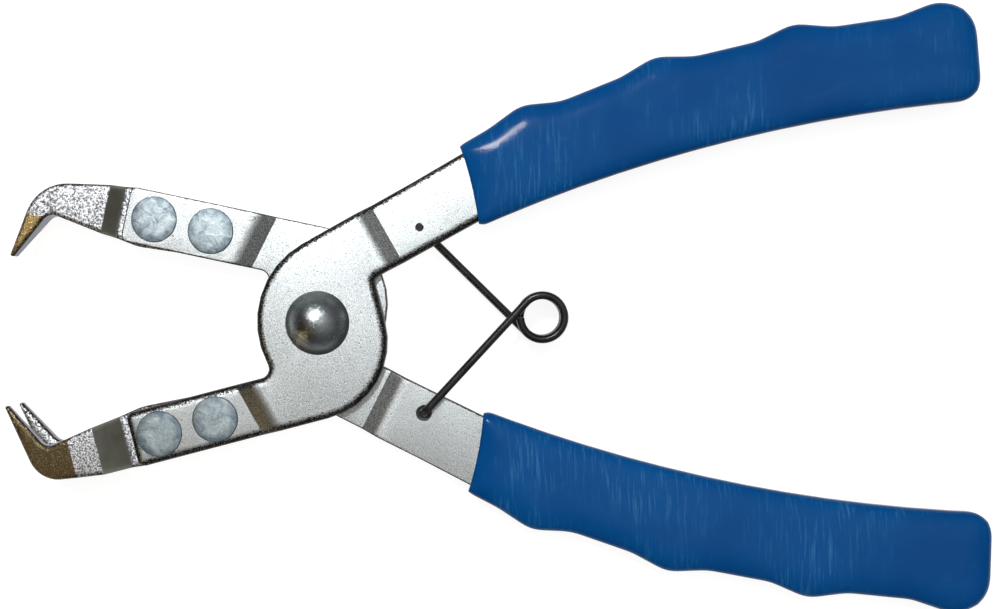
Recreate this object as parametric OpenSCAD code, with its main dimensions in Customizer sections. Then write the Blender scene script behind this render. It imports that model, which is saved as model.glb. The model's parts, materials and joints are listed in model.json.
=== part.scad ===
// Sprung removal pliers with two hooked claws that close into each other.
// The tool lies flat: +X from the claws to the handles, +Z up, towards the domed rivet head.
// Each arm is drawn closed, about the pivot, and is then turned open by the spread angle.

/* [Arms] */
// Thickness of the sheet steel
plate_t = 3.2; // [2.8:0.1:4]
// Angle that each arm stands open from its closed position
spread = 13.3; // [9:0.1:17]
// Running gap between the two arms at the pivot
plate_gap = 0.1; // [0.05:0.05:0.3]
// Width of the jaw strap
jaw_w = 12.4; // [12:0.1:15]
// Distance from the pivot to the jaw strap's centre line
jaw_offset = 15; // [13:0.5:18]
// Length of the jaw strap, from the pivot to its end
jaw_len = 47.2; // [44:0.1:60]
// Width of the handle strap between the pivot and the grip
strap_w = 14.6; // [12:0.1:17]
// Distance from the pivot to the handle strap's inner edge
strap_inner = 2.5; // [2:0.1:4]
// Slope of the handle strap against the jaw strap
strap_angle = 14.7; // [12:0.1:18]
// Reach of the pivot disc behind the pivot, towards the jaws
boss_back = 13.8; // [12:0.1:17]
// Reach of the pivot disc in front of the pivot, towards the handles
boss_front = 14.4; // [12:0.1:17]

/* [Joggle] */
// Distance from the pivot to the middle of each offset bend
joggle_at = 21.1; // [19:0.1:24]
// Length of the offset bend along the strap
joggle_run = 3.9; // [3:0.1:6]
// Radius of the outside of a bend
bend_outer_r = 6; // [3:0.5:8]
// Radius of the inside of a bend
bend_inner_r = 0.6; // [0.3:0.1:1]

/* [Handles] */
// Distance along the handle strap, from the pivot, at which it starts to widen
widen_at = 33.8; // [33:0.1:35]
// Radius of the handle's inner edge
bow_r = 349; // [280:1:420]
// Distance along the tool from the pivot to the flattest point of the bow
bow_x = 95.5; // [90:0.5:105]
// Distance from the centre line to the inner edge of a closed handle
handle_gap = 16; // [14:0.5:20]
// Angle round the bow at which the grip starts
mouth_at = 8.9; // [8:0.1:10]
// Length of the grip
grip_len = 115.5; // [100:0.5:135]
// Width of the grip between its finger crests
grip_w = 20.4; // [18:0.1:25]
// Thickness of the dipped vinyl
vinyl_t = 1.8; // [1.4:0.1:2.4]
// Rounding of the vinyl along its edges
grip_round = 3; // [2.4:0.1:3]
// Height of a finger crest above the grip's edge
crest_h = 2.3; // [1.5:0.1:3]
// Spacing of the finger crests
crest_pitch = 30; // [26:0.5:38]
// Length of each slope of a finger crest
crest_foot = 8.2; // [7:0.1:9]
// Distance from the grip's mouth to the first crest
crest_first = 17; // [16:0.5:20]
// Drop of the first crest below the others
first_drop = 0.9; // [0:0.1:1.2]
// Skew of the grip's mouth across the handle
mouth_skew = 9.3; // [0:0.1:12]

/* [Claws] */
// Length of the single claw's hook, from the end of the jaw strap to the tip
hook_reach = 23.6; // [22:0.1:28]
// How far the fork's tips stand past the single claw's tip
fork_lead = 0.7; // [0:0.1:1]
// How far the back of the hook leans from tip to knuckle
hook_lean = 3.4; // [2:0.1:4.5]
// Distance from the centre line to the back of the single claw's knuckle
single_knuckle = 17.8; // [17.4:0.1:18.4]
// Distance from the centre line to the back of the fork's knuckle
fork_knuckle = 18.4; // [17.8:0.1:18.8]
// Width of the hook's prong at its root
prong_w = 4.8; // [4:0.1:6]
// Distance from the centre line to the inner corner of the hook
palm_y = 11.6; // [11:0.1:12.4]
// Width of the prong's tip
tip_w = 0.9; // [0.6:0.1:1.4]
// Thickness of the single claw at its knuckle
single_t = 5.2; // [4.4:0.1:5.4]
// Thickness of the single claw's tip
single_tip_t = 3; // [2:0.1:4]
// Thickness of the forked claw over both prongs
fork_t = 12.6; // [11.8:0.1:16]
// Thickness of the forked claw over both tips
fork_tip_t = 9.4; // [8.5:0.1:11]
// Distance from the end of the jaw strap at which the fork starts to thin
fork_thin_at = 12; // [10:0.5:14]
// Distance from the centre line at which the single claw's prong starts to thin
single_thin_at = 10.5; // [8:0.1:11]
// Side clearance between the single claw and the fork's slot
slot_gap = 0.4; // [0.3:0.1:0.8]
// Thickness of the tang riveted behind the jaw strap
tang_t = 3; // [2.4:0.1:4]
// Slope of the shoulder between the tang and the claw
shoulder_slope = 63; // [50:1:75]

/* [Fasteners] */
// Diameter of the pivot rivet's shank
pivot_d = 8; // [6:0.1:10]
// Diameter of the pivot rivet's dome
dome_d = 14.3; // [12:0.1:18]
// Height of the pivot rivet's dome
dome_h = 4.6; // [3:0.1:6]
// Diameter of the pivot rivet's formed rear head
rear_head_d = 12.5; // [11:0.1:16]
// Height of the pivot rivet's formed rear head
rear_head_h = 1.8; // [1.2:0.1:2.2]
// Radial running clearance of the pivot
pivot_gap = 0.05; // [0.02:0.01:0.1]
// Diameter of a jaw rivet's head
rivet_head_d = 10.2; // [8:0.1:11]
// Diameter of a jaw rivet's shank
rivet_d = 6; // [4:0.1:7]
// Distance from the jaw strap's end to the outer rivet
rivet_inset = 6.5; // [6:0.1:8]
// Distance between the two rivets of a jaw
rivet_pitch = 12.9; // [11.5:0.1:14]

/* [Spring] */
// Diameter of the spring wire
wire_d = 1.8; // [1.4:0.1:2.2]
// Mean diameter of the coil
coil_d = 9.8; // [8:0.1:14]
// Distance from an arm's spring hole to the middle of the coil
leg_reach = 34; // [30:0.5:40]
// Distance from the pivot to the spring hole, along the handle strap
hole_at = 30.1; // [28:0.1:33]
// Distance from the strap's inner edge to the spring hole
hole_inset = 5; // [4:0.1:7]
// Radial clearance of the wire in its hole
wire_gap = 0.08; // [0.04:0.01:0.1]
// Diameter of the countersink round the wire's end
wire_sink_d = 3.6; // [3:0.1:4.4]

/* [Hidden] */
$fn = 64;

seat_gap = 0.02;        // clearance between pieces that are riveted or dipped together
head_proud = 0.3;       // height of a jaw rivet's head above the steel
head_lip = 0.15;        // bevel of that head's rim
sink = (rivet_head_d - rivet_d) / 2;    // depth of a jaw rivet's 90 degree countersink
half_gap = plate_gap / 2;
pivot_top = half_gap + plate_t;         // outer face of an arm at the pivot
strap_top = plate_t / 2;                // outer face of both arms away from the pivot
tang_back = -strap_top - tang_t;        // rear face of a claw's tang
jaw_inner = -jaw_offset + jaw_w / 2;
jaw_outer = -jaw_offset - jaw_w / 2;
tip_x = -jaw_len - hook_reach;
shoulder_gap = 2.1;     // distance from the strap's end to the foot of the shoulder
shoulder_at = -jaw_len - shoulder_gap;
shoulder_foot_r = 1.2;  // rounding of the shoulder's foot
shoulder_top_r = 0.3;   // rounding of the shoulder's top
swell_from = 0.5;       // start and end of the swell of the claw's rear face past the shoulder's foot
swell_to = 5;
swell_r = 4;
hook_top = -0.4;                        // height of the closed tips below the centre line
slot_w = single_t + 2 * slot_gap;
fork_tip_x = tip_x - fork_lead;
slot_floor_r = 16.8;    // radius of the floor of the fork's slot
slot_reach = 4;         // distance of the slot floor's centre past the single claw's tip
slot_rise = 2;          // height of that centre above the centre line
slot_centre = [tip_x - slot_reach, slot_rise];
single_knuckle_r = 9.5; // rounding of the back of the single claw's knuckle
fork_knuckle_r = 7;     // rounding of the back of the fork's knuckle
palm_r = 2.6;           // rounding of the inner corner of the hook
tang_reach = 7;         // distance from the inner rivet to the tang's end
tang_end = -jaw_len + rivet_inset + rivet_pitch + tang_reach;
tang_end_r = 5.4;       // rounding of the tang's end
tang_inset = 0.8;       // the tang's end is this much inside the strap's edges
claw_back_proud = 0.1;  // the claw's back stands this much outside the strap's outer edge
claw_back_r = 6;
claw_front_proud = 0.6; // the claw's front stands this much outside the strap's inner edge
claw_front_at = 3;      // distance of that swell from the strap's end
claw_front_r = 12;
tip_r = min(0.4, 0.45 * tip_w);         // rounding of a claw's tip
far = 100;              // a length that reaches past everything, for cutters

disc_front_r = 17.6;    // rounding of the pivot disc towards the handle
disc_back_r = 20;       // rounding of the pivot disc towards the jaw
notch_r = 1.2;          // rounding of the notch between disc and handle strap
throat_lead = 1.2;      // distance of the disc's back from its corner with the jaw strap
throat_r = 2.2;         // rounding of that corner
strap_end_r = 1.6;      // rounding of the jaw strap's end
widen_r = 14;           // rounding of the handle strap where it starts to widen

bow_centre = [bow_x, handle_gap - bow_r];
end_at = mouth_at - arc_angle(grip_len);    // angle round the bow of the grip's end
bow_lead = 0.7;         // angle from the mouth to the first point of the handle's inner edge
bow_trail = 1.5;        // angle from the last of those points to the grip's end
bow_points = 12;        // number of those points
least_r = 0.4;          // smallest rounding left on the grip's corners
end_rise = 1.2;         // height of the grip's outer end corner above its edge
last_clear = 7;         // shortest distance from the last crest to the grip's end
crest_count = floor((grip_len - crest_first - last_clear) / crest_pitch) + 1;
crest_r = 8;            // rounding of a crest's top
near_foot_r = 8;        // rounding of a crest's foot on the mouth's side
far_foot_r = 14;        // rounding of a crest's foot on the other side
end_outer_r = 7.5;      // rounding of the grip's outer end corner
end_inner_r = 5;        // rounding of the grip's inner end corner
mouth_corner_r = 1.4;
mouth_sag = 0.5;        // hollow of the grip's mouth
sag_r = 30;
grip_half = strap_top + vinyl_t;        // half of the grip's thickness
grip_steps = 5;         // steps of each rounding of the grip

// Rings of the dipped sleeve, [step, side], from its rear face round its edges to its front face
grip_rings = concat(
    [for (i = [grip_steps : -1 : 0]) [i, -1]],
    [for (i = [0 : grip_steps]) [i, 1]]);

hole_xy = along(hole_at, strap_inner + hole_inset);
hole_open = turn(hole_xy, spread);      // the spring hole once the arm stands open
coil_r = coil_d / 2;
leg_len = sqrt(leg_reach * leg_reach - coil_r * coil_r);
leg_angle = asin(hole_open.y / leg_reach) + asin(coil_r / leg_reach);   // slope of an open leg
leg_gap = 0.3;          // clearance between the wire and an arm's face
coil_gap = 0.3;         // clearance between the two half coils
pin_sink = 0.2;         // depth of the wire's end below the arm's face
leg_z = strap_top + leg_gap + wire_d / 2;
elbow_r = wire_d;
coil_h = leg_z - (wire_d + coil_gap) / 2;   // height from a half coil's outer turn to its inner turn
coil_pitch = 0.98 * wire_d;             // largest rise of a turn, so that the turns touch
coil_turns = ceil(coil_h / coil_pitch);

// The frame's origin lies under the middle of the open tool, level with the fork's rear face
low_x = min([for (p = claw_outline(fork_tip_x, fork_knuckle, fork_knuckle_r)) turn(p, spread).x]);
high_x = max([for (p = grip_outline(0, 0)) turn(p, spread).x]);
frame_shift = [-(low_x + high_x) / 2, 0, fork_t / 2];

steel = [0.78, 0.79, 0.80];
zinc = [0.62, 0.68, 0.72];
dome_grey = [0.42, 0.44, 0.46];
spring_black = [0.09, 0.09, 0.10];
vinyl_blue = [0.02, 0.33, 0.63];

function unit(v) = v / norm(v);
function turn(p, a) = [p.x * cos(a) - p.y * sin(a), p.x * sin(a) + p.y * cos(a)];

// A length along the handle's inner edge as an angle round the bow
function arc_angle(len) = len / bow_r * 180 / PI;

// A point given along and across the handle strap
function along(u, n) = turn([u, n], strap_angle);

// A point of the handle, by its angle round the bow and its height above the inner edge
function bow_point(a, h) = bow_centre + (bow_r + h) * [-sin(a), cos(a)];

// Points that round the corner b, between a and c, to radius r
function corner(a, b, c, r, steps) =
    let (u = unit(a - b), w = unit(c - b),
         half = acos(u * w) / 2,
         centre = b + unit(u + w) * r / sin(half),
         from = b + u * r / tan(half) - centre,
         left = u.x * w.y - u.y * w.x < 0,
         sweep = (left ? 1 : -1) * (180 - 2 * half))
    [for (i = [0 : steps]) centre + turn(from, sweep * i / steps)];

// An outline through corners [x, y, r]; r of 0 leaves a sharp corner
function rounded(pts, steps = 8) =
    [for (i = [0 : len(pts) - 1])
        let (n = len(pts), a = pts[(i + n - 1) % n], b = pts[i], c = pts[(i + 1) % n])
        each b[2] > 0
            ? corner([a.x, a.y], [b.x, b.y], [c.x, c.y], b[2], steps)
            : [[b.x, b.y]]];

function rounded_at(p, r) = [p.x, p.y, r];

function lerp(a, b, t) = a + (b - a) * t;

// Where the line through a and b meets the line through c and d
function meet(a, b, c, d) =
    let (u = b - a, v = d - c, w = c - a)
    a + u * (w.x * v.y - w.y * v.x) / (u.x * v.y - u.y * v.x);

// Angle round the bow of finger crest i
function crest_angle(i) = mouth_at - arc_angle(crest_first + i * crest_pitch);

// Level of finger crest i against the others
function crest_drop(i) = i == 0 ? first_drop : 0;

// Corners of the handle's edges and end, moved in by d from the vinyl's surface
function handle_corners(d) =
    let (foot = arc_angle(crest_foot), base = grip_w - d, last = crest_count - 1,
         from = mouth_at - bow_lead, to = end_at + bow_trail)
    concat(
        [for (i = [0 : bow_points - 1])
            rounded_at(bow_point(lerp(from, to, i / (bow_points - 1)), d), 0)],
        [rounded_at(bow_point(end_at + arc_angle(d), d), max(end_inner_r - d, least_r)),
         rounded_at(bow_point(end_at + arc_angle(d), base + end_rise), max(end_outer_r - d, least_r))],
        [for (i = [last : -1 : 0], k = [-1 : 1])
            if (k >= 0 || i < last)
                rounded_at(
                    bow_point(crest_angle(i) + k * foot, base - crest_drop(i) + (k == 0 ? crest_h : 0)),
                    k < 0 ? far_foot_r + d : k == 0 ? crest_r - d : near_foot_r + d)]);

// The whole stamped arm in plan; grow widens its handle, for the cavity of the grip
function arm_outline(grow = 0) = rounded(concat(
    [[-jaw_len, jaw_outer, strap_end_r],
     [boss_front, jaw_outer, disc_front_r],
     [boss_front, (strap_inner - grow + boss_front * sin(strap_angle)) / cos(strap_angle), notch_r]],
    handle_corners(vinyl_t - grow),
    [rounded_at(widening_start(grow), widen_r),
     rounded_at(along(-boss_back, strap_inner + strap_w + grow), disc_back_r),
     [-boss_back + throat_lead, jaw_inner, throat_r],
     [-jaw_len, jaw_inner, strap_end_r]]));

// Where the handle strap starts to widen towards the first finger crest
function widening_start(grow) = along(widen_at, strap_inner + strap_w + grow);

// A point across the grip's skewed mouth, at height h, moved in by m
function mouth_point(h, m) = bow_point(mouth_at - arc_angle(m + tan(mouth_skew) * (h - grip_w / 2)), h);

// Outer corner of the grip's mouth, one vinyl thickness outside the widening strap
function mouth_corner(d, m) =
    let (a = widening_start(0),
         b = bow_point(crest_angle(0) + arc_angle(crest_foot), grip_w - vinyl_t - first_drop),
         out = turn(unit(b - a), 90) * (vinyl_t - d))
    meet(a + out, b + out, mouth_point(0, m), mouth_point(grip_w, m));

// The grip in plan, d inside its widest outline, with its mouth moved in by m
function grip_outline(d, m) =
    let (r = max(mouth_corner_r - d, least_r))
    rounded(concat(
        [rounded_at(mouth_point(d, m), r)],
        handle_corners(d),
        [rounded_at(mouth_corner(d, m), r),
         rounded_at(mouth_point(grip_w / 2, m + mouth_sag), sag_r)]), grip_steps);

// Side view of the offset sheet: raised by the step over the pivot, level beyond the bends
function sheet_edge(z_out, z_in, out_r, in_r) =
    let (a = joggle_at + joggle_run / 2, b = joggle_at - joggle_run / 2)
    [[-2 * far, z_out, 0], [-a, z_out, out_r], [-b, z_in, in_r],
     [b, z_in, in_r], [a, z_out, out_r], [2 * far, z_out, 0]];

function reversed(list) = [for (i = [len(list) - 1 : -1 : 0]) list[i]];

module sheet_profile() {
    top = sheet_edge(strap_top, pivot_top, bend_inner_r, bend_outer_r);
    bottom = sheet_edge(strap_top - plate_t, half_gap, bend_outer_r, bend_inner_r);
    polygon(rounded(concat(top, reversed(bottom))));
}

// A hole with a 90 degree countersink that opens towards +Z at height z
module sunk_hole(d, mouth_d, z) {
    cylinder(h = far, d = d, center = true);
    translate([0, 0, z - (mouth_d - d) / 2])
        cylinder(h = (mouth_d - d) / 2, d1 = d, d2 = mouth_d);
    translate([0, 0, z])
        cylinder(h = far, d = mouth_d);
}

module at_jaw_rivet(i) {
    translate([-jaw_len + rivet_inset + i * rivet_pitch, -jaw_offset, 0]) children();
}

// One stamped arm, closed, with its pivot zone raised; head_side is the side of its rivet heads
module arm(head_side, pivot_hole_d) {
    difference() {
        intersection() {
            linear_extrude(height = far, center = true)
                polygon(arm_outline());
            rotate([0, 0, strap_angle])
                rotate([90, 0, 0])
                    linear_extrude(height = 3 * far, center = true)
                        sheet_profile();
        }
        cylinder(h = far, d = pivot_hole_d);
        for (i = [0, 1])
            at_jaw_rivet(i)
                mirror([0, 0, head_side < 0 ? 1 : 0])
                    sunk_hole(rivet_d + 2 * seat_gap, rivet_head_d + 2 * seat_gap, strap_top);
        translate([hole_xy.x, hole_xy.y, 0])
            mirror([0, 0, 1])
                sunk_hole(wire_d + 2 * wire_gap, wire_sink_d, strap_top);
    }
}

// Places a closed front-side part in the open tool
module opened() {
    rotate([0, 0, spread]) children();
}

// Turns a front-side part over for the rear arm
module flipped() {
    rotate([180, 0, 0]) children();
}

// Moves the pivot frame to the part's own frame
module in_frame() {
    translate(frame_shift) children();
}

module front_arm() {
    color(steel) in_frame() opened() arm(1, pivot_d + 2 * seat_gap);
}

module rear_arm() {
    color(steel) in_frame() flipped() opened() arm(-1, pivot_d + 2 * pivot_gap);
}

// Domed head, shank and formed rear head, turned in one piece
module pivot_rivet() {
    seat = pivot_top + seat_gap;
    dome_r = (dome_d * dome_d / 4 + dome_h * dome_h) / (2 * dome_h);
    rear_seat = -pivot_top - plate_gap;
    rear_bevel = rear_head_h * 0.55;
    color(dome_grey) in_frame() {
        intersection() {
            translate([0, 0, seat + dome_h - dome_r]) sphere(r = dome_r, $fn = 96);
            translate([0, 0, seat]) cylinder(h = dome_h + 1, d = dome_d);
        }
        translate([0, 0, rear_seat]) cylinder(h = seat - rear_seat, d = pivot_d);
        rotate_extrude()
            polygon([[0, rear_seat], [rear_head_d / 2, rear_seat],
                     [rear_head_d / 2, rear_seat - rear_head_h + rear_bevel],
                     [rear_head_d / 2 - rear_bevel, rear_seat - rear_head_h],
                     [0, rear_seat - rear_head_h]]);
    }
}

// Jaw rivet with a countersunk head at each end, from the arm's face to the tang's face
module jaw_rivet(i) {
    top = strap_top + head_proud;
    back = tang_back - head_proud;
    head_r = rivet_head_d / 2;
    color(zinc) at_jaw_rivet(i)
        rotate_extrude()
            polygon([[0, top], [head_r - head_lip, top], [head_r, top - head_lip],
                     [head_r, strap_top], [rivet_d / 2, strap_top - sink],
                     [rivet_d / 2, tang_back + sink], [head_r, tang_back],
                     [head_r, back + head_lip], [head_r - head_lip, back], [0, back]]);
}

// A claw in plan, closed: tang behind the strap, then the hook that turns up to the centre line
function claw_outline(tip, knuckle, knuckle_r) =
    let (lean_at_palm = hook_lean * (palm_y + hook_top) / (knuckle + hook_top))
    rounded([[tang_end, jaw_outer + tang_inset, tang_end_r],
             [-jaw_len, jaw_outer - claw_back_proud, claw_back_r],
             [tip + hook_lean, -knuckle, knuckle_r],
             [tip, hook_top, tip_r],
             [tip + tip_w, hook_top, tip_r],
             [tip + lean_at_palm + prong_w, -palm_y, palm_r],
             [-jaw_len + claw_front_at, jaw_inner + claw_front_proud, claw_front_r],
             [tang_end, jaw_inner - tang_inset, tang_end_r]]);

// Side view of a claw of thickness t, from the tang over the shoulder to the hook
module claw_side(t) {
    face = -strap_top - seat_gap;
    run = (t / 2 - face) / tan(shoulder_slope);
    polygon(rounded([[0, tang_back, 0], [0, face, 0],
                     [shoulder_at, face, shoulder_foot_r],
                     [shoulder_at - run, t / 2, shoulder_top_r],
                     [-far, t / 2, 0], [-far, -t / 2, 0],
                     [shoulder_at - swell_to, -t / 2, swell_r],
                     [shoulder_at - swell_from, tang_back, swell_r]]));
}

// Envelope of thickness t that thins from one level to tip_t at another, with room for the tang
module thinning(from, t, to, tip_t) {
    linear_extrude(height = 2 * far, center = true)
        polygon([[-far, -t / 2 - tang_t], [from, -t / 2 - tang_t], [from, -t / 2],
                 [to, -tip_t / 2], [to, tip_t / 2], [from, t / 2], [-far, t / 2]]);
}

// A claw with its tang, rivet holes and shoulder, kept within the envelope given as its child
module claw(tip, knuckle, knuckle_r, t) {
    difference() {
        intersection() {
            linear_extrude(height = far, center = true)
                polygon(claw_outline(tip, knuckle, knuckle_r));
            rotate([90, 0, 0])
                linear_extrude(height = far, center = true)
                    claw_side(t);
            children();
        }
        for (i = [0, 1])
            at_jaw_rivet(i)
                mirror([0, 0, 1])
                    sunk_hole(rivet_d + 2 * seat_gap, rivet_head_d + 2 * seat_gap, -tang_back);
    }
}

// The fork thins along the jaw, from a band past the shoulder to the tips
module forked_claw() {
    color(steel) in_frame() opened()
        difference() {
            claw(fork_tip_x, fork_knuckle, fork_knuckle_r, fork_t)
                rotate([90, 0, 180])
                    thinning(jaw_len + fork_thin_at, fork_t, -fork_tip_x, fork_tip_t);
            translate(slot_centre)
                cylinder(h = slot_w, r = slot_floor_r, center = true, $fn = 128);
        }
}

// The single claw thins along its prong only
module single_claw() {
    color(steel) in_frame() mirror([0, 1, 0]) opened()
        claw(tip_x, single_knuckle, single_knuckle_r, single_t)
            union() {
                rotate([90, 0, 90])
                    thinning(-single_thin_at, single_t, 0, single_tip_t);
                translate([tip_x + hook_lean + prong_w, -far / 2, -far / 2])
                    cube(far);
            }
}

module front_jaw_rivet(i) {
    in_frame() opened() jaw_rivet(i);
}

module rear_jaw_rivet(i) {
    in_frame() mirror([0, 1, 0]) opened() jaw_rivet(i);
}

// Half of the torsion spring, behind the front arm: pin, elbow, leg and close-wound half coil
module spring_half() {
    pin_top = strap_top - pin_sink;
    bend_z = elbow_r - leg_z;
    wire_r = wire_d / 2;
    color(spring_black)
        translate([hole_open.x, hole_open.y, 0])
            rotate([0, 0, -leg_angle]) {
                translate([0, 0, bend_z])
                    cylinder(h = pin_top - bend_z, r = wire_r);
                translate([elbow_r, 0, bend_z])
                    rotate([90, 0, 0])
                        rotate([0, 0, 180])
                            rotate_extrude(angle = 90)
                                translate([elbow_r, 0]) circle(r = wire_r);
                translate([elbow_r, 0, -leg_z])
                    rotate([0, 90, 0])
                        cylinder(h = leg_len - elbow_r, r = wire_r);
                for (i = [0 : coil_turns])
                    translate([leg_len, coil_r, i * coil_h / coil_turns - leg_z])
                        rotate([0, 0, -90])
                            rotate_extrude(angle = 270 + leg_angle)
                                translate([coil_r, 0]) circle(r = wire_r);
            }
}

module spring_front_half() {
    in_frame() spring_half();
}

module spring_rear_half() {
    in_frame() flipped() spring_half();
}

function ring_points(k) =
    let (a = 90 * k[0] / grip_steps, d = grip_round * (1 - cos(a)),
         z = k[1] * (grip_half - grip_round + grip_round * sin(a)))
    [for (p = grip_outline(d, d / 2)) [p.x, p.y, z]];

// Triangles of the sleeve's flat face, in fans from the points of its inner edge
function face_fans(n) =
    let (first = grip_steps + 1, last = first + bow_points - 1,
         cuts = [for (i = [0 : bow_points]) floor((n - bow_points - 1) * i / bow_points)])
    [for (i = [0 : bow_points - 1])
        each concat(
            [for (j = [cuts[i] : 1 : cuts[i + 1] - 1]) [last - i, (last + 1 + j) % n, (last + 2 + j) % n]],
            i == bow_points - 1 ? [] : [[last - i, (last + 1 + cuts[i + 1]) % n, last - i - 1]])];

// Dipped vinyl sleeve of the front arm, hollow for the steel handle
module grip() {
    points = [for (k = grip_rings) each ring_points(k)];
    m = len(grip_rings);
    n = len(points) / m;
    top = (m - 1) * n;
    faces = concat(
        face_fans(n),
        [for (j = [0 : m - 2], i = [0 : n - 1])
            each [[j * n + i, (j + 1) * n + i, (j + 1) * n + (i + 1) % n],
                  [j * n + i, (j + 1) * n + (i + 1) % n, j * n + (i + 1) % n]]],
        [for (f = face_fans(n)) [top + f[2], top + f[1], top + f[0]]]);
    color(vinyl_blue)
        difference() {
            polyhedron(points, faces);
            linear_extrude(height = plate_t + 2 * seat_gap, center = true)
                polygon(arm_outline(seat_gap));
        }
}

module front_grip() {
    in_frame() opened() grip();
}

module rear_grip() {
    in_frame() flipped() opened() grip();
}

front_arm();
rear_arm();
pivot_rivet();
single_claw();
forked_claw();
front_jaw_rivet(0);  // front_jaw_rivet_outer
front_jaw_rivet(1);  // front_jaw_rivet_inner
rear_jaw_rivet(0);  // rear_jaw_rivet_outer
rear_jaw_rivet(1);  // rear_jaw_rivet_inner
spring_front_half();
spring_rear_half();
front_grip();
rear_grip();
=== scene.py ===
import bpy
import bmesh
import json
import math
import numpy as np
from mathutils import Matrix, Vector
from mathutils.geometry import delaunay_2d_cdt


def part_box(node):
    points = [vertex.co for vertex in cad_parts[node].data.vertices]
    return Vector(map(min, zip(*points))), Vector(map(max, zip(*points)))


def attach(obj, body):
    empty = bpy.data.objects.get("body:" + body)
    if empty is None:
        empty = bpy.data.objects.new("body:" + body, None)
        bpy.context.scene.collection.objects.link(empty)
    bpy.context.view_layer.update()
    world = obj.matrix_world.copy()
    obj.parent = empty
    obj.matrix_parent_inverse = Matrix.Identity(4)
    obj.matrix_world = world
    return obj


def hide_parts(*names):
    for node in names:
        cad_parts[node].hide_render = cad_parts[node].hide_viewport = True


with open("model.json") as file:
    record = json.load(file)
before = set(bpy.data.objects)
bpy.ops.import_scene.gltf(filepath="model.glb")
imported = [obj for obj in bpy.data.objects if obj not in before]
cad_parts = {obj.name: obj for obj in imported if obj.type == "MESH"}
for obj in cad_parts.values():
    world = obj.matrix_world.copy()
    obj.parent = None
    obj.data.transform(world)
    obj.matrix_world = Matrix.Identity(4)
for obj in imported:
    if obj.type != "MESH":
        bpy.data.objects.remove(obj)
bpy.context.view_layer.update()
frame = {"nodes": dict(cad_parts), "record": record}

# Metres. The CAD pieces stay where they are: skins with rolled edges take their place in the picture.
MM = 0.001
NODES = frame["nodes"]
JOINTS = frame["record"]["behaviour"]["joints"]
BODY = {n: b for b, ns in frame["record"]["behaviour"]["bodies"].items() for n in ns}
SLOT = {s["node"]: s["material_slot"] for s in frame["record"]["subparts"]}
WELD = 0.002 * MM           # points of a CAD mesh closer than this are one


# ---------------------------------------------------------------- node helpers

def material(name):
    m = bpy.data.materials.new(name)
    m.use_nodes = True
    m.node_tree.nodes.clear()
    out = m.node_tree.nodes.new("ShaderNodeOutputMaterial")
    bsdf = m.node_tree.nodes.new("ShaderNodeBsdfPrincipled")
    m.node_tree.links.new(bsdf.outputs[0], out.inputs[0])
    return m, m.node_tree, bsdf


def put(nt, value, socket):
    """Links a node's output to the socket, or sets the socket to a number or a colour"""
    if hasattr(value, "links"):
        nt.links.new(value, socket)
    elif socket.type == "RGBA":
        socket.default_value = (*value, 1)
    else:
        socket.default_value = value


def node(nt, kind, inputs=(), **settings):
    """A node with its first inputs and its settings filled in"""
    n = nt.nodes.new(kind)
    for name, value in settings.items():
        setattr(n, name, value)
    for socket, value in zip(n.inputs, inputs):
        put(nt, value, socket)
    return n


def coords(nt):
    return node(nt, "ShaderNodeTexCoord").outputs["Object"]


def noise(nt, place, scale, detail=3.0, rough=0.55, distort=0.0):
    n = node(nt, "ShaderNodeTexNoise")
    for name, value in (("Vector", place), ("Scale", scale), ("Detail", detail),
                        ("Roughness", rough), ("Distortion", distort)):
        put(nt, value, n.inputs[name])
    return n.outputs[0]


def ramp(nt, fac, stops):
    """Colours that fade into each other at the stops"""
    r = node(nt, "ShaderNodeValToRGB", (fac,))
    elements = r.color_ramp.elements
    while len(elements) > 1:
        elements.remove(elements[-1])
    elements[0].position = stops[0][0]
    elements[0].color = (*stops[0][1], 1)
    for position, colour in stops[1:]:
        elements.new(position).color = (*colour, 1)
    return r.outputs[0]


def grey(v):
    return (v, v, v)


def mix(nt, fac, a, b, mode="MIX"):
    m = node(nt, "ShaderNodeMix", data_type="RGBA", blend_type=mode)
    put(nt, fac, m.inputs[0])
    put(nt, a, m.inputs[6])
    put(nt, b, m.inputs[7])
    return m.outputs[2]


def math_node(nt, operation, *values):
    return node(nt, "ShaderNodeMath", values, operation=operation).outputs[0]


def remap(nt, value, low, high, to_low, to_high):
    return node(nt, "ShaderNodeMapRange", (value, low, high, to_low, to_high)).outputs[0]


def bumps(nt, *layers):
    """Bump nodes one after the other, each from a height, a strength and a distance"""
    normal = None
    for height, strength, distance in layers:
        n = node(nt, "ShaderNodeBump")
        put(nt, strength, n.inputs["Strength"])
        put(nt, distance, n.inputs["Distance"])
        put(nt, height, n.inputs["Height"])
        if normal is not None:
            put(nt, normal, n.inputs["Normal"])
        normal = n.outputs[0]
    return normal


def finish(nt, bsdf, colour, metallic, rough, normal, specular=0.5):
    for name, value in (("Base Color", colour), ("Metallic", metallic), ("Roughness", rough),
                        ("Normal", normal), ("Specular IOR Level", specular)):
        put(nt, value, bsdf.inputs[name])


def up_facing(nt):
    """1 where the piece's own surface faces up or down, 0 on its side walls"""
    normal = node(nt, "ShaderNodeTexCoord").outputs["Normal"]
    return math_node(nt, "ABSOLUTE", node(nt, "ShaderNodeSeparateXYZ", (normal,)).outputs[2])


def marked(nt, name):
    """A value carried by the piece's own points, set when its skin is made"""
    return node(nt, "ShaderNodeAttribute", attribute_name=name).outputs["Fac"]


def ragged_edge(nt, grain, start, full, ragged):
    """Mask of the rolled edge for painted shade, broken up by the grain where it fades into the face"""
    edge_shade = math_node(nt, "ADD", marked(nt, "rim"), remap(nt, grain, 0.3, 0.7, ragged, -ragged))
    return remap(nt, edge_shade, start, full, 0.0, 1.0)


# ---------------------------------------------------------------- materials

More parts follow.
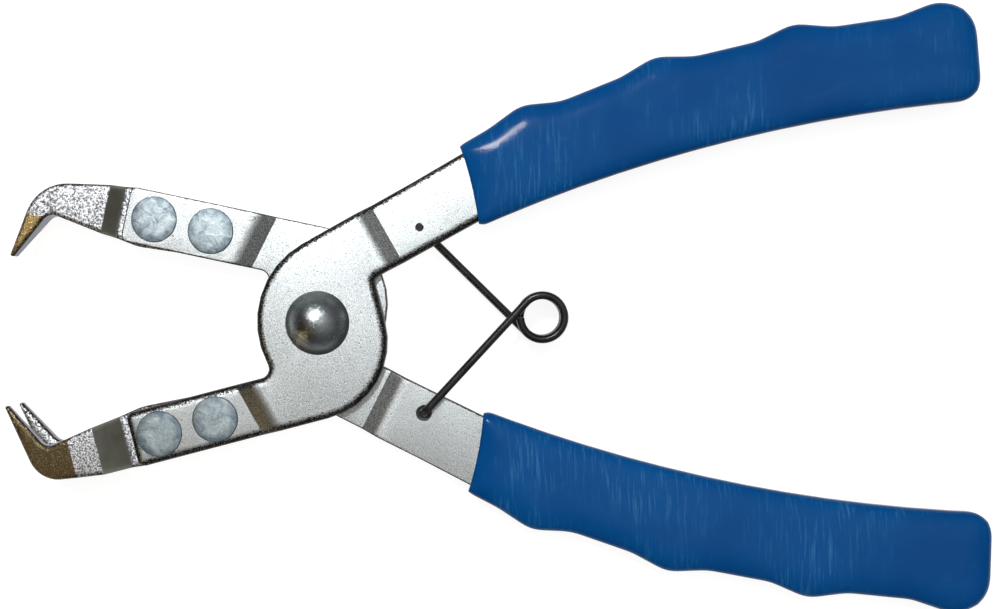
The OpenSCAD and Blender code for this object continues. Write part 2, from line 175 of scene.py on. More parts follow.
def arm_material():
    """Bright plated sheet with a fine sparkling grain, with painted shade where it is bent and along its
    rolled edges, and darker sheared walls
    """
    m, nt, bsdf = material("plated_steel_mat")
    dull, middle, bright = (0.44, 0.49, 0.51), (0.74, 0.80, 0.82), (0.92, 0.96, 0.97)
    speck, stain = (0.50, 0.54, 0.55), (0.66, 0.67, 0.66)
    painted_bend_shade, sheared_wall_and_edge_shade = (0.085, 0.08, 0.07), (0.030, 0.026, 0.022)
    v = coords(nt)
    fine = noise(nt, v, 5200.0, 2.0, 0.6)
    coarse = noise(nt, v, 2600.0, 2.0, 0.65)
    blotch = noise(nt, v, 90.0, 3.0, 0.5)
    c = ramp(nt, fine, [(0.38, dull), (0.50, middle), (0.62, bright)])
    c = mix(nt, remap(nt, coarse, 0.52, 0.66, 0.0, 0.6), c, speck)
    c = mix(nt, remap(nt, blotch, 0.4, 0.75, 0.0, 0.2), c, stain)
    # Painted shade: faces that tilt from level darken towards the bend colour, less on steep slopes
    slope = remap(nt, up_facing(nt), 0.92, 0.998, 0.78, 0.0)
    slope = math_node(nt, "MULTIPLY", slope, remap(nt, fine, 0.36, 0.62, 1.25, 0.55))
    slope = math_node(nt, "MULTIPLY", slope, remap(nt, marked(nt, "ground"), 0.0, 1.0, 1.0, 0.15))
    c = mix(nt, slope, c, painted_bend_shade)
    # Painted shade along the rolled edge, together with the darker sheared steel of the side walls
    c = mix(nt, ragged_edge(nt, coarse, 0.22, 0.62, 0.48), c, sheared_wall_and_edge_shade)
    finish(nt, bsdf, c, 1.0, remap(nt, coarse, 0.3, 0.7, 0.47, 0.36),
           bumps(nt, (coarse, 0.35, 0.12 * MM), (fine, 0.40, 0.07 * MM)))
    return m


def claw_colour(nt, fine, coarse):
    """Coarse glitter, a painted warm reflection on the faces where the claw thins, and painted shade along
    the rolled edge
    """
    pit, grain, spark, glint = (0.08, 0.08, 0.09), (0.32, 0.33, 0.36), (0.90, 0.93, 0.96), (0.95, 0.96, 0.97)
    reflection_bronze, reflection_gold = (0.27, 0.205, 0.105), (0.86, 0.62, 0.27)
    reflection_pit, reflection_spark = (0.10, 0.075, 0.035), (0.75, 0.66, 0.48)
    painted_edge_shade = (0.045, 0.038, 0.032)
    c = ramp(nt, coarse, [(0.37, pit), (0.46, grain), (0.55, spark)])
    c = mix(nt, remap(nt, fine, 0.5, 0.7, 0.0, 0.6), c, glint)
    # Painted warm reflection, bronze to gold, on the faces where the claw thins, with pits and sparks of
    # grain in it
    warm_reflection = mix(nt, remap(nt, marked(nt, "warm"), 0.5, 1.0, 0.0, 1.0), reflection_bronze, reflection_gold)
    warm_reflection = mix(nt, remap(nt, fine, 0.40, 0.60, 0.55, 0.0), warm_reflection, reflection_pit)
    warm_reflection = mix(nt, remap(nt, coarse, 0.56, 0.66, 0.0, 0.4), warm_reflection, reflection_spark)
    c = mix(nt, remap(nt, marked(nt, "warm"), 0.0, 0.45, 0.0, 1.0), c, warm_reflection)
    # Painted shade along the rolled edge
    return mix(nt, ragged_edge(nt, coarse, 0.35, 0.80, 0.30), c, painted_edge_shade)


def claw_material():
    """Cast claws: smoother steep slopes in painted olive shade, and side walls in painted lilac-grey shade"""
    m, nt, bsdf = material("claw_steel_mat")
    v = coords(nt)
    fine = noise(nt, v, 4600.0, 2.0, 0.6)
    coarse = noise(nt, v, 2300.0, 2.0, 0.6)
    cloud = noise(nt, v, 300.0, 3.0, 0.5)
    # Painted shade: dark olive on the steep slopes, lilac grey on the side walls
    olive_slope_shade = ramp(nt, cloud, [(0.3, (0.14, 0.14, 0.11)), (0.7, (0.19, 0.19, 0.155))])
    lilac_wall_shade = ramp(nt, cloud, [(0.3, (0.24, 0.24, 0.29)), (0.7, (0.34, 0.34, 0.40))])
    ground = marked(nt, "ground")
    wall = remap(nt, up_facing(nt), 0.12, 0.30, 1.0, 0.0)
    c = mix(nt, ground, claw_colour(nt, fine, coarse), olive_slope_shade)
    c = mix(nt, wall, c, lilac_wall_shade)
    smooth = math_node(nt, "MAXIMUM", wall, ground)
    relief = remap(nt, smooth, 0.0, 1.0, 0.75, 0.06)
    finish(nt, bsdf, c, remap(nt, smooth, 0.0, 1.0, 1.0, 0.25), remap(nt, coarse, 0.3, 0.7, 0.42, 0.30),
           bumps(nt, (coarse, relief, 0.14 * MM), (fine, relief, 0.08 * MM)))
    return m


def rivet_material():
    """Blotchy blue-grey zinc on the jaw rivets, with painted shade round the rims of their heads and on their
    side walls
    """
    m, nt, bsdf = material("rivet_zinc_mat")
    dark, middle, light = (0.24, 0.31, 0.36), (0.42, 0.51, 0.55), (0.60, 0.70, 0.73)
    frost, rim, side_wall_shade = (0.78, 0.86, 0.88), (0.11, 0.15, 0.19), (0.06, 0.07, 0.08)
    v = coords(nt)
    fine = noise(nt, v, 2600.0, 3.0, 0.65)
    cloud = noise(nt, v, 420.0, 5.0, 0.62, 0.8)
    c = ramp(nt, cloud, [(0.32, dark), (0.5, middle), (0.68, light)])
    c = mix(nt, remap(nt, fine, 0.45, 0.7, 0.0, 0.5), c, frost)
    # Painted shade darkening the rim of each head
    edge = math_node(nt, "ADD", marked(nt, "rim"), remap(nt, cloud, 0.3, 0.7, 0.25, -0.25))
    c = mix(nt, remap(nt, edge, 0.1, 1.0, 0.0, 0.8), c, rim)
    # Painted shade on the heads' side walls
    c = mix(nt, remap(nt, up_facing(nt), 0.3, 0.95, 0.9, 0.0), c, side_wall_shade)
    finish(nt, bsdf, c, 0.85, remap(nt, cloud, 0.3, 0.7, 0.52, 0.40),
           bumps(nt, (fine, 0.30, 0.10 * MM), (cloud, 0.35, 0.30 * MM)))
    return m


def dome_material():
    """Polished dark steel of the pivot rivet, with painted shade, nearly black, where the dome falls away"""
    m, nt, bsdf = material("dome_steel_mat")
    v = coords(nt)
    fine = noise(nt, v, 4200.0, 2.0, 0.6)
    cloud = noise(nt, v, 300.0, 4.0, 0.6)
    c = ramp(nt, cloud, [(0.3, (0.25, 0.28, 0.29)), (0.7, (0.40, 0.44, 0.46))])
    c = mix(nt, remap(nt, fine, 0.4, 0.75, 0.0, 0.3), c, (0.56, 0.60, 0.62))
    # Painted shade, nearly black, where the dome falls away from level
    c = mix(nt, remap(nt, up_facing(nt), 0.35, 0.85, 0.85, 0.0), c, (0.060, 0.060, 0.050))
    finish(nt, bsdf, c, 1.0, remap(nt, cloud, 0.3, 0.7, 0.30, 0.22),
           bumps(nt, (fine, 0.65, 0.10 * MM), (cloud, 0.12, 0.30 * MM)))
    return m


def spring_material():
    """Black oiled spring wire"""
    m, nt, bsdf = material("spring_black_mat")
    v = coords(nt)
    fine = noise(nt, v, 1800.0, 3.0, 0.6)
    cloud = noise(nt, v, 240.0, 3.0, 0.6)
    c = ramp(nt, cloud, [(0.35, (0.006, 0.006, 0.007)), (0.7, (0.022, 0.021, 0.021))])
    finish(nt, bsdf, c, 0.2, remap(nt, fine, 0.3, 0.7, 0.34, 0.24), bumps(nt, (fine, 0.08, 0.06 * MM)))
    return m


def vinyl_material():
    """Dipped vinyl: orange peel, creases and pale strokes across the handle, faint scuffs"""
    m, nt, bsdf = material("vinyl_blue_mat")
    deep, lighter = (0.001, 0.054, 0.208), (0.002, 0.076, 0.262)
    scuffed, stroke = (0.08, 0.25, 0.46), (0.06, 0.24, 0.45)
    v = coords(nt)
    fine = noise(nt, v, 3000.0, 2.0, 0.6)
    peel = noise(nt, v, 520.0, 2.0, 0.5)
    cloud = noise(nt, v, 38.0, 3.0, 0.55, 0.4)
    scuff = noise(nt, v, 150.0, 6.0, 0.7, 0.8)
    stretch = node(nt, "ShaderNodeMapping", (v,))
    stretch.inputs["Scale"].default_value = (1.0, 0.07, 0.3)
    crease = noise(nt, stretch.outputs[0], 1500.0, 3.0, 0.6)
    c = ramp(nt, cloud, [(0.3, deep), (0.72, lighter)])
    c = mix(nt, remap(nt, scuff, 0.60, 0.80, 0.0, 0.10), c, scuffed)
    strokes = remap(nt, crease, 0.52, 0.74, 0.0, 0.40)
    strokes = math_node(nt, "MULTIPLY", strokes, remap(nt, cloud, 0.46, 0.60, 0.0, 1.0))
    c = mix(nt, strokes, c, stroke)
    relief = bumps(nt, (cloud, 0.12, 1.5 * MM), (peel, 0.14, 0.25 * MM),
                   (crease, 0.22, 0.08 * MM), (fine, 0.25, 0.06 * MM))
    finish(nt, bsdf, c, 0.0, remap(nt, scuff, 0.35, 0.7, 0.10, 0.22), relief, specular=0.12)
    return m


LOOK = {"plated_steel": arm_material(), "claw_steel": claw_material(), "rivet_zinc": rivet_material(),
        "dome_steel": dome_material(), "spring_black": spring_material(), "vinyl_blue": vinyl_material()}


# ---------------------------------------------------------------- pieces and plane geometry

def smooth_by_angle(ob, degrees):
    """Smooth shading with sharp edges where faces meet at more than this angle"""
    me = ob.data
    me.polygons.foreach_set("use_smooth", [True] * len(me.polygons))
    limit = math.radians(degrees)
    bm = bmesh.new()
    bm.from_mesh(me)
    for e in bm.edges:
        e.smooth = not (len(e.link_faces) == 2 and e.calc_face_angle(0) > limit)
    bm.to_mesh(me)
    bm.free()


def add_piece(me, cad_node, smooth):
    """Puts the mesh in the CAD node's place, on its body and with its material"""
    me.name = cad_node + "_skin"
    ob = bpy.data.objects.new(me.name, me)
    bpy.context.scene.collection.objects.link(ob)
    me.materials.clear()
    me.materials.append(LOOK[SLOT[cad_node]])
    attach(ob, BODY[cad_node])
    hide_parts(cad_node)
    smooth_by_angle(ob, smooth)
    return ob


def welded(cad_node):
    bm = bmesh.new()
    bm.from_mesh(NODES[cad_node].data)
    bmesh.ops.remove_doubles(bm, verts=bm.verts, dist=WELD)
    return bm


def segment_distance(points, starts, ends):
    """Distance in plan of each point from the nearest of the segments"""
    d = ends - starts
    length2 = np.maximum(np.einsum("nk,nk->n", d, d), 1e-18)
    best = []
    for block in np.array_split(points, max(1, len(points) // 2000)):
        t = np.einsum("pnk,nk->pn", block[:, None] - starts, d) / length2
        foot = starts + np.clip(t, 0, 1)[..., None] * d
        best.append(np.linalg.norm(block[:, None] - foot, axis=2).min(axis=1))
    return np.concatenate(best)


def within(points, starts, ends):
    """Which points lie inside the loops made by the segments, by counting crossings"""
    hit = np.zeros(len(points), dtype=bool)
    for (x0, y0), (x1, y1) in zip(starts, ends):
        if y0 != y1:
            spans = (points[:, 1] < y0) != (points[:, 1] < y1)
            hit ^= spans & (points[:, 0] < x0 + (points[:, 1] - y0) * (x1 - x0) / (y1 - y0))
    return hit


def plan_area(corners):
    (x0, y0), (x1, y1), (x2, y2) = np.moveaxis(corners, 0, 2)
    return 0.5 * np.abs((x1 - x0) * (y2 - y0) - (x2 - x0) * (y1 - y0))


def plane_height(normal, corner, xy):
    """Height above the points in plan of the plane through the corner"""
    return corner.z - ((xy[:, 0] - corner.x) * normal.x + (xy[:, 1] - corner.y) * normal.y) / normal.z


def rolled(depth, width, d):
    """How far an edge rolled over width falls below its face, at distance d from the outline"""
    return depth * (1 - np.sqrt(1 - np.clip(1 - d / width, 0, 1) ** 2))


# ---------------------------------------------------------------- steel pieces with rolled edges

UP, DOWN = 1, -1
STEEL_SMOOTH = 32           # degrees
FACE = 0.3                  # upright part of the normal above which a face is skinned, not a wall
STEEP = 0.8                 # a skinned face below this is a ground slope
THINNING = 0.97             # a skinned face below this is a steep slope
LEVEL_FACE = 0.9992
THINNING_AREA = 8 * MM * MM     # smaller faces are left as they are
FLAT_WITHIN = 0.004 * MM    # how far the faces of one flat area stray from its plane
SLIVER = 1e-4 * MM * MM     # triangles smaller than this have no normal to trust
STEP = 0.35 * MM            # spacing of the points along a rolled edge
RINGS = (0.03, 0.08, 0.16, 0.27, 0.41, 0.58, 0.78, 1.0)     # their distances from it, over the roll's width
RING_SLACK = 0.97           # ring points closer to another edge than this share of their distance go
RING_CLEAR = 0.02           # least distance of a ring point from an area's outline, over the roll's width
CDT_EPSILON = 1e-7
SPRING_HOLE_R = 2.2 * MM    # with the sink around it
HOLE_CLEAR = 0.3 * MM


def hole_centres():
    """Centre and radius of what fills each hole of the steel parts"""
    spots = []
    for n in NODES:
        if "rivet" in n:
            low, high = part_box(n)
            spots.append((((low + high) / 2).xy, (high.x - low.x) / 2))
    return spots + [(Vector(j["pos_m"][:2]), SPRING_HOLE_R) for j in JOINTS if "spring" in j["name"]]


def touching(f):
    return sorted({g for e in f.edges for g in e.link_faces}, key=lambda g: g.index)


def gather(seed, left, belongs):
    """Takes from left the faces that join the seed through faces that belong"""
    found, todo = [], [seed]
    left.discard(seed)
    while todo:
        f = todo.pop()
        found.append(f)
        for g in touching(f):
            if g in left and belongs(g):
                left.discard(g)
                todo.append(g)
    return found


def connected(faces):
    left = set(faces)
    return [gather(f, left, lambda g: True) for f in faces if f in left]


def coplanar(faces):
    """The faces sorted into flat areas, largest faces first so that slivers join their neighbours"""
    left, areas = set(faces), []
    for f in sorted(faces, key=lambda g: (-g.calc_area(), g.index)):
        if f in left:
            n, o = f.normal, f.verts[0].co
            areas.append(gather(f, left, lambda g: all(abs(n.dot(v.co - o)) < FLAT_WITHIN for v in g.verts)))
    return areas


def facing_side(bm, side):
    """The faces that look up or down, with the slivers beside its level faces"""
    return {f for f in bm.faces if f.normal.z * side > FACE or f.calc_area() < SLIVER
            and any(g.normal.z * side > 0.99 for g in touching(f))}


def rim_of(skin, facing, holes):
    """The edges along which the skin is rolled: its outline, or its holes where it has nothing else"""
    def in_hole(e):
        middle = (e.verts[0].co.xy + e.verts[1].co.xy) / 2
        return any((middle - c).length < r + HOLE_CLEAR for c, r in holes)
    border = [e for f in skin for e in f.edges if not all(g in facing for g in e.link_faces)]
    return [e for e in border if len(e.link_faces) == 2 and not in_hole(e)] or border


def ends_of(edges):
    return (np.array([e.verts[0].co.xy for e in edges]).reshape(-1, 2),
            np.array([e.verts[1].co.xy for e in edges]).reshape(-1, 2))


def skin_rings(rim, facing, width):
    """Points in plan alongside the rim, at the distances a roll of this width needs"""
    starts, ends = ends_of(rim)
    samples, inward = [], []
    for e, a, b in zip(rim, starts, ends):
        f = next(g for g in e.link_faces if g in facing)
        along = b - a
        length = np.linalg.norm(along)
        across = np.array((-along[1], along[0])) / max(length, 1e-9)
        if np.dot(np.array(f.calc_center_median().xy) - a, across) < 0:
            across = -across
        count = max(1, round(length / STEP))
        samples.append(a + (np.arange(count)[:, None] + 0.5) / count * along)
        inward.append(np.repeat(across[None], count, axis=0))
    samples, inward = np.concatenate(samples), np.concatenate(inward)
    rings = np.concatenate([samples + r * width * inward for r in RINGS])
    far = np.concatenate([np.full(len(samples), r * width) for r in RINGS])
    return rings[segment_distance(rings, starts, ends) > RING_SLACK * far]


def points_along(edges):
    """Points in plan a step apart on the edges, the pairs of them that are joined, and their heights"""
    plan, pairs, heights = [], [], []
    for e in edges:
        a, b = (np.array(v.co) for v in e.verts)
        count = max(1, round(np.linalg.norm((b - a)[:2]) / STEP))
        line = a + np.arange(count + 1)[:, None] / count * (b - a)
        pairs += [(len(plan) + n, len(plan) + n + 1) for n in range(count)]
        plan += list(line[:, :2])
        heights += list(line[:, 2])
    return plan, pairs, heights


def fill(edges, rings, width):
    """Triangles in plan inside the edges, their points, and the height of each point on an edge"""
    starts, ends = ends_of(edges)
    outline, pairs, heights = points_along(edges)
    inner = rings[within(rings, starts, ends)]
    if len(inner):
        inner = inner[segment_distance(inner, starts, ends) > RING_CLEAR * width]
    points = [Vector(q) for q in (*outline, *inner)]
    plan, _, triangles, origins, *_ = delaunay_2d_cdt(points, pairs, [], 0, CDT_EPSILON)
    plan = np.array([q[:] for q in plan])
    triangles = np.array([t for t in triangles if len(t) == 3])
    inside = within(plan[triangles].mean(axis=1), starts, ends)
    triangles = triangles[inside & (plan_area(plan[triangles]) > SLIVER)]
    on_edge = {i: heights[o[0]] for i, o in enumerate(origins) if o and o[0] < len(heights)}
    return plan, triangles, on_edge


class Skin:
    """Points, faces and the marks that the materials read, put together bit by bit"""

    def __init__(self):
        self.points = []
        self.faces = []
        # One of the marks sets where a claw takes its painted warm reflection
        self.marks = {"rim": [], "ground": [], "warm": []}

    def add(self, points, faces, rim, ground=0.0, warm=0.0):
        base = len(self.points)
        self.points += points
        self.faces += [tuple(base + i for i in f) for f in faces]
        self.marks["rim"] += rim
        self.marks["ground"] += [ground] * len(points)
        self.marks["warm"] += [warm] * len(points)

    def mesh(self, name):
        me = bpy.data.meshes.new(name)
        me.from_pydata(self.points, [], self.faces)
        me.update()
        for mark, values in self.marks.items():
            me.attributes.new(mark, "FLOAT", "POINT").data.foreach_set("value", values)
        return me


def add_area(skin, area, rings, rim, roll, warm_reflection_strength):
    """Adds one flat area, lowered near the rim by the roll"""
    side, width, depth = roll
    members = set(area)
    outline = [e for f in area for e in f.edges if sum(g in members for g in e.link_faces) == 1]
    plan, triangles, on_edge = fill(outline, rings, width)
    largest = max(area, key=lambda f: f.calc_area())
    z = plane_height(largest.normal, largest.verts[0].co, plan)
    for i, height in on_edge.items():
        z[i] = height
    d = segment_distance(plan, *ends_of(rim))
    z -= side * rolled(depth, width, d)
    size = sum(f.calc_area() for f in area)
    upright = abs(largest.normal.z)
    # Faces where a claw thins are marked for a painted warm reflection
    skin.add([(x, y, h) for (x, y), h in zip(plan, z)], triangles[:, ::side].tolist(),
             list(np.clip(1 - d / width, 0, 1)), ground=float(FACE < upright < STEEP),
             warm=warm_reflection_strength * (THINNING < upright < LEVEL_FACE and size > THINNING_AREA))


def add_walls(skin, bm, lowered):
    """Adds the side walls, which end where the rolls do"""
    walls = [f for f in bm.faces if abs(f.normal.z) <= FACE and f.calc_area() > SLIVER]
    index = {}
    for f in walls:
        for v in f.verts:
            index.setdefault(v, len(index))
    skin.add([(v.co.x, v.co.y, v.co.z - lowered.get(v, 0.0)) for v in index],
             [[index[v] for v in f.verts] for f in walls], [1.0] * len(index))


def rolled_copy(cad_node, rolls, keep_holes=True, warm_reflection_strength=0.0):
    """The CAD piece with the edges of its faces rolled over. The last argument sets how strongly the faces
    where a claw thins take a painted warm reflection
    """
    bm = welded(cad_node)
    bmesh.ops.dissolve_degenerate(bm, dist=WELD, edges=bm.edges)
    bmesh.ops.triangulate(bm, faces=bm.faces)
    bm.normal_update()
    bm.faces.index_update()
    holes = hole_centres() if keep_holes else []
    skin, lowered = Skin(), {}
    for side, width, depth in rolls:
        facing = facing_side(bm, side)
        for part in connected([f for f in bm.faces if f in facing]):
            rim = rim_of(part, facing, holes)
            lowered.update({v: side * depth for e in rim for v in e.verts})
            rings = skin_rings(rim, facing, width)
            for area in coplanar(part):
                add_area(skin, area, rings, rim, (side, width, depth), warm_reflection_strength)
    add_walls(skin, bm, lowered)
    bm.free()
    return add_piece(skin.mesh(cad_node), cad_node, STEEL_SMOOTH)


def rounded_copy(cad_node, width, segments, sharp):
    """The CAD piece with a small round on each edge sharper than this many degrees"""
    bm = welded(cad_node)
    bmesh.ops.dissolve_limit(bm, angle_limit=math.radians(0.6), verts=bm.verts, edges=bm.edges,
                             delimit=set())
    limit = math.radians(sharp)
    edges = [e for e in bm.edges if len(e.link_faces) == 2 and e.calc_face_angle(0) >= limit]
    bmesh.ops.bevel(bm, geom=edges, offset=width, offset_type="OFFSET", segments=segments,
                    profile=0.5, affect="EDGES", clamp_overlap=True, miter_outer="ARC", loop_slide=True)
    bm.normal_update()
    me = NODES[cad_node].data.copy()
    bm.to_mesh(me)
    bm.free()
    normals = add_piece(me, cad_node, STEEL_SMOOTH).modifiers.new("normals", "WEIGHTED_NORMAL")
    normals.keep_sharp = True
    normals.weight = 80


# Each roll is a side, a width and a depth. The rear arm is the front arm's stamping turned over
rolled_copy("front_arm", [(UP, 1.8 * MM, 1.2 * MM), (DOWN, 0.4 * MM, 0.3 * MM)])
rolled_copy("rear_arm", [(UP, 0.4 * MM, 0.3 * MM), (DOWN, 1.8 * MM, 1.2 * MM)])
# The claws take a painted warm reflection on their thinning faces, stronger on the single claw
rolled_copy("single_claw", [(UP, 1.1 * MM, 0.7 * MM), (DOWN, 0.5 * MM, 0.4 * MM)], warm_reflection_strength=1.0)
rolled_copy("forked_claw", [(UP, 1.1 * MM, 0.7 * MM), (DOWN, 0.5 * MM, 0.4 * MM)], warm_reflection_strength=0.5)
for n in NODES:
    if "jaw_rivet" in n:
        rolled_copy(n, [(UP, 2.4 * MM, 0.14 * MM), (DOWN, 2.4 * MM, 0.14 * MM)], keep_holes=False)
rounded_copy("pivot_rivet", 0.12 * MM, 3, 40)

for n in ("spring_front_half", "spring_rear_half"):
    for s in NODES[n].material_slots:
        s.material = LOOK[SLOT[n]]


# ---------------------------------------------------------------- dipped grips

LEVEL = sum(corner.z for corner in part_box("front_grip")) / 2    # the grips' middle plane
GRIP_HALF = 3.4 * MM        # half the grip's thickness
RIM = 0.4 * MM              # half the height of its narrow side wall
ROUND = 9.0 * MM            # width over which its face rolls down to the side wall
ROLL_POWER = 2.3
LIP = 0.6 * MM              # rounding of the vinyl's edge at the mouth
LIP_HEIGHT = 0.6 * MM
MOUTH_ROLL = 9.0 * MM       # length over which the vinyl thins towards the mouth
MOUTH_SAG = 0.5 * MM
STEEL_HALF = 1.55 * MM      # just under the steel's face, which the vinyl meets at the mouth
BLEND = 0.5 * MM            # height over which the crown and the mouth's roll run into each other
CORNER_SMOOTH = 0.6 * MM    # size of the small corners smoothed out of the outline
ALONG, ACROSS = 150, 36     # faces of the grip's grid
GRIP_SMOOTH = 40            # degrees


def soft_min(a, b, k):
    h = np.clip(k - np.abs(a - b), 0, None) / k
    return np.minimum(a, b) - h * h * k / 4


def rim_chain(cad_node):
    """The sleeve's widest outline in plan, in order from the outer end of its mouth round to the inner one"""
    bm = welded(cad_node)
    level = LEVEL + RIM
    near = {v for v in bm.verts if abs(v.co.z - level) < 0.01 * MM}
    linked = {v: [e.other_vert(v) for e in v.link_edges if e.other_vert(v) in near] for v in near}
    v = max((v for v in near if len(linked[v]) == 1), key=lambda v: abs(v.co.y))
    chain, seen = [], set()
    while v is not None:
        chain.append(np.array(v.co.xy))
        seen.add(v)
        v = next((w for w in linked[v] if w not in seen), None)
    bm.free()
    return np.array(chain)


def split_at_corners(chain):
    """One edge, the end and the other edge of the outline, cut in the middle of its rounded corners"""
    step = np.diff(chain, axis=0)
    step /= np.linalg.norm(step, axis=1)[:, None]
    far = chain[np.argmax(np.linalg.norm(chain - chain[0], axis=1))]
    axis = (far - chain[0]) / np.linalg.norm(far - chain[0])
    lengthways = np.abs(step @ axis) > math.sqrt(0.5)
    turns = [i for i in range(1, len(step)) if lengthways[i] != lengthways[i - 1]]
    a, b, c, d = turns[0], turns[1], turns[-2], turns[-1]
    return chain[a:b + 1], chain[b:c + 1], chain[c:d + 1][::-1]


def along_curve(points, t):
    """Points at the fractions t of a polyline's length, with its small corners smoothed"""
    s = np.concatenate([[0], np.cumsum(np.linalg.norm(np.diff(points, axis=0), axis=1))])
    even = np.linspace(0, s[-1], 400)
    fine = np.stack([np.interp(even, s, points[:, k]) for k in (0, 1)], axis=1)
    for _ in range(int(3 * (CORNER_SMOOTH / even[1]) ** 2) + 1):
        fine[1:-1] = fine[1:-1] * 0.5 + (fine[:-2] + fine[2:]) * 0.25
    return np.stack([np.interp(t * s[-1], even, fine[:, k]) for k in (0, 1)], axis=1)


def line_distance(points, line):
    """Distance in plan of each point from a polyline"""
    return segment_distance(points, line[:-1], line[1:])


def grip_height(edge_d, mouth_d):
    """Half thickness of the grip at distances from its edge and from its mouth"""
    s = np.clip(1 - edge_d / ROUND, 0, 1)
    crown = RIM + (GRIP_HALF - RIM) * (1 - s ** ROLL_POWER) ** (1 / ROLL_POWER)
    lip = LIP_HEIGHT * np.sqrt(1 - np.clip(1 - mouth_d / LIP, 0, 1) ** 2)
    roll = (GRIP_HALF - STEEL_HALF - LIP_HEIGHT) * (1 - np.clip(1 - mouth_d / MOUTH_ROLL, 0, 1) ** 2)
    return soft_min(crown, STEEL_HALF + lip + roll, BLEND)


def grip_plan(cad_node):
    """Grid of points in plan between the sleeve's edges, mouth and end, and half its thickness at each"""
    u = (1 - np.cos(np.linspace(0, math.pi, ALONG + 1))) / 2
    v = (1 - np.cos(np.linspace(0, math.pi, ACROSS + 1))) / 2
    one, end, other = split_at_corners(rim_chain(cad_node))
    a, b, e = along_curve(one, u), along_curve(other, u), along_curve(end, v)
    inward = (a[1] - a[0] + b[1] - b[0])
    inward /= np.linalg.norm(inward)
    mouth = a[0] + v[:, None] * (b[0] - a[0]) + (MOUTH_SAG * 4 * v * (1 - v))[:, None] * inward
    uu, vv = u[:, None, None], v[None, :, None]
    grid = ((1 - vv) * a[:, None] + vv * b[:, None] + (1 - uu) * mouth[None] + uu * e[None]
            - (1 - uu) * (1 - vv) * a[0] - (1 - uu) * vv * b[0] - uu * (1 - vv) * a[-1] - uu * vv * b[-1])
    plan = grid.reshape(-1, 2)
    edge = np.concatenate([a, e[1:-1], b[::-1]])
    return plan, grip_height(line_distance(plan, edge), line_distance(plan, mouth))


def grid_border(g):
    """The points around a grid, in order"""
    return ([g[i][0] for i in range(ALONG)] + [g[ALONG][j] for j in range(ACROSS)]
            + [g[i][ACROSS] for i in range(ALONG, 0, -1)] + [g[0][j] for j in range(ACROSS, 0, -1)])


def grip_piece(cad_node):
    """The sleeve as two grids, one above and one below, joined by a narrow wall"""
    plan, half = grip_plan(cad_node)
    bm = bmesh.new()
    grids = []
    for side in (UP, DOWN):
        vs = [bm.verts.new((x, y, LEVEL + side * z)) for (x, y), z in zip(plan, half)]
        grids.append([vs[i * (ACROSS + 1):(i + 1) * (ACROSS + 1)] for i in range(ALONG + 1)])
    for g in grids:
        for i in range(ALONG):
            for j in range(ACROSS):
                bm.faces.new((g[i][j], g[i + 1][j], g[i + 1][j + 1], g[i][j + 1]))
    top, bottom = map(grid_border, grids)
    for i in range(len(top)):
        k = (i + 1) % len(top)
        bm.faces.new((top[i], top[k], bottom[k], bottom[i]))
    bmesh.ops.recalc_face_normals(bm, faces=bm.faces)
    me = bpy.data.meshes.new(cad_node)
    bm.to_mesh(me)
    bm.free()
    add_piece(me, cad_node, GRIP_SMOOTH)


grip_piece("front_grip")
grip_piece("rear_grip")


# ---------------------------------------------------------------- stage, light and camera

FLOOR_R = 4.0
FLOOR_DROP = 0.4 * MM       # gap under the lowest piece
FLOOR_LIFT = 0.86           # the floor's own glow, which only the camera and reflections see


def stage_floor():
    """A plain pale floor that keeps the object's shadow"""
    me = bpy.data.meshes.new("floor")
    bm = bmesh.new()
    bmesh.ops.create_circle(bm, cap_ends=True, radius=FLOOR_R, segments=96)
    bm.to_mesh(me)
    bm.free()
    ob = bpy.data.objects.new("floor", me)
    ob.location.z = -FLOOR_DROP
    bpy.context.scene.collection.objects.link(ob)
    m, nt, bsdf = material("floor_mat")
    colour = ramp(nt, noise(nt, coords(nt), 40.0), [(0.3, grey(0.28)), (0.7, grey(0.30))])
    put(nt, colour, bsdf.inputs["Base Color"])
    put(nt, 0.9, bsdf.inputs["Roughness"])
    put(nt, 0.0, bsdf.inputs["Specular IOR Level"])
    glow = node(nt, "ShaderNodeEmission", (grey(1.0), FLOOR_LIFT))
    lit = node(nt, "ShaderNodeAddShader", (bsdf.outputs[0], glow.outputs[0]))
    path = node(nt, "ShaderNodeLightPath").outputs
    seen = math_node(nt, "MAXIMUM", path["Is Camera Ray"], path["Is Glossy Ray"])
    seen = math_node(nt, "MAXIMUM", seen, path["Is Transmission Ray"])
    both = node(nt, "ShaderNodeMixShader", (seen, bsdf.outputs[0], lit.outputs[0]))
    out = next(n for n in nt.nodes if n.type == "OUTPUT_MATERIAL")
    put(nt, both.outputs[0], out.inputs[0])
    me.materials.append(m)


def toward(nt, direction):
    """How nearly a ray of the world looks along the direction"""
    ray = node(nt, "ShaderNodeTexCoord").outputs["Generated"]
    along = Vector(direction).normalized()
    return node(nt, "ShaderNodeVectorMath", (ray, along), operation="DOT_PRODUCT").outputs["Value"]


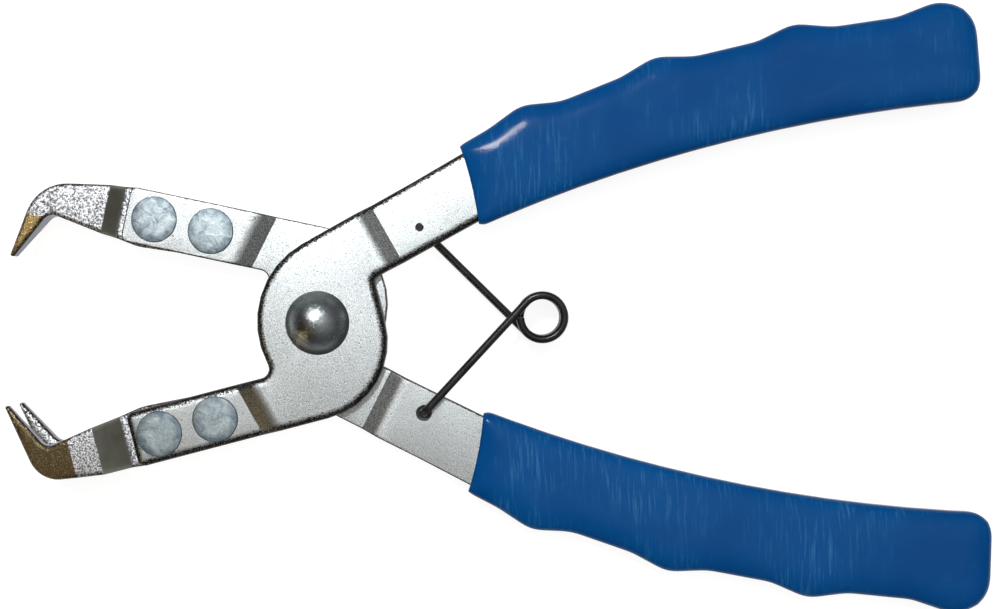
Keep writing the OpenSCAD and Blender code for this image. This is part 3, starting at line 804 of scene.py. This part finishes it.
def world_light():
    """A studio: bright overhead, dark all round, brown at the left, and a white backdrop"""
    w = bpy.data.worlds.new("studio")
    bpy.context.scene.world = w
    w.use_nodes = True
    nt = w.node_tree
    nt.nodes.clear()
    top = ramp(nt, toward(nt, (0.12, 0.12, 1.0)), [
        (0.0, grey(0.10)), (0.55, grey(0.12)), (0.80, grey(0.30)), (0.93, grey(0.62)), (1.0, grey(0.66))])
    left = ramp(nt, toward(nt, (-1.0, -0.35, 0.55)), [(0.40, grey(0.0)), (0.80, grey(1.0))])
    brown = mix(nt, 1.0, top, (0.26, 0.17, 0.07), "MULTIPLY")
    sky = mix(nt, left, top, brown)
    sky = mix(nt, node(nt, "ShaderNodeLightPath").outputs["Is Camera Ray"], sky, grey(1.0))
    background = node(nt, "ShaderNodeBackground", (sky, 1.0))
    node(nt, "ShaderNodeOutputWorld", (background.outputs[0],))


def lamp(name, place, aim, size, power, colour=(1, 1, 1), glossy=True):
    light = bpy.data.lights.new(name, "AREA")
    light.shape = "DISK"
    light.size = size
    light.energy = power
    light.color = colour
    ob = bpy.data.objects.new(name, light)
    ob.location = place
    ob.rotation_mode = "QUATERNION"
    ob.rotation_quaternion = (Vector(aim) - Vector(place)).to_track_quat("-Z", "Y")
    ob.visible_glossy = glossy
    bpy.context.scene.collection.objects.link(ob)


def camera(place, turn, focal, shift, sensor=36.0):
    """Looks straight down. The focal length is given over the sensor's width"""
    cam = bpy.data.cameras.new("camera")
    cam.sensor_fit = "HORIZONTAL"
    cam.sensor_width = sensor
    cam.lens = sensor * focal
    cam.clip_start = 0.01
    cam.clip_end = 20.0
    cam.shift_x, cam.shift_y = shift
    ob = bpy.data.objects.new("camera", cam)
    ob.location = place
    ob.rotation_euler = (0.0, 0.0, math.radians(turn))
    bpy.context.scene.collection.objects.link(ob)
    bpy.context.scene.camera = ob


stage_floor()
world_light()
lamp("key", (-0.144, 0.344, 0.71), (0.0, 0.0, 0.0), 0.13, 3.3)
lamp("fill", (0.15, 0.10, 1.4), (0.0, 0.0, 0.0), 1.3, 7.0, glossy=False)
lamp("window", (-0.50, -0.36, 0.24), (-0.05, 0.0, 0.0), 0.04, 0.2, (1.0, 0.72, 0.38))
camera((-0.0010, 0.0050, 0.2663), -1.4, 1.157, (0.007, -0.0085))
bpy.context.scene.view_settings.view_transform = "Standard"
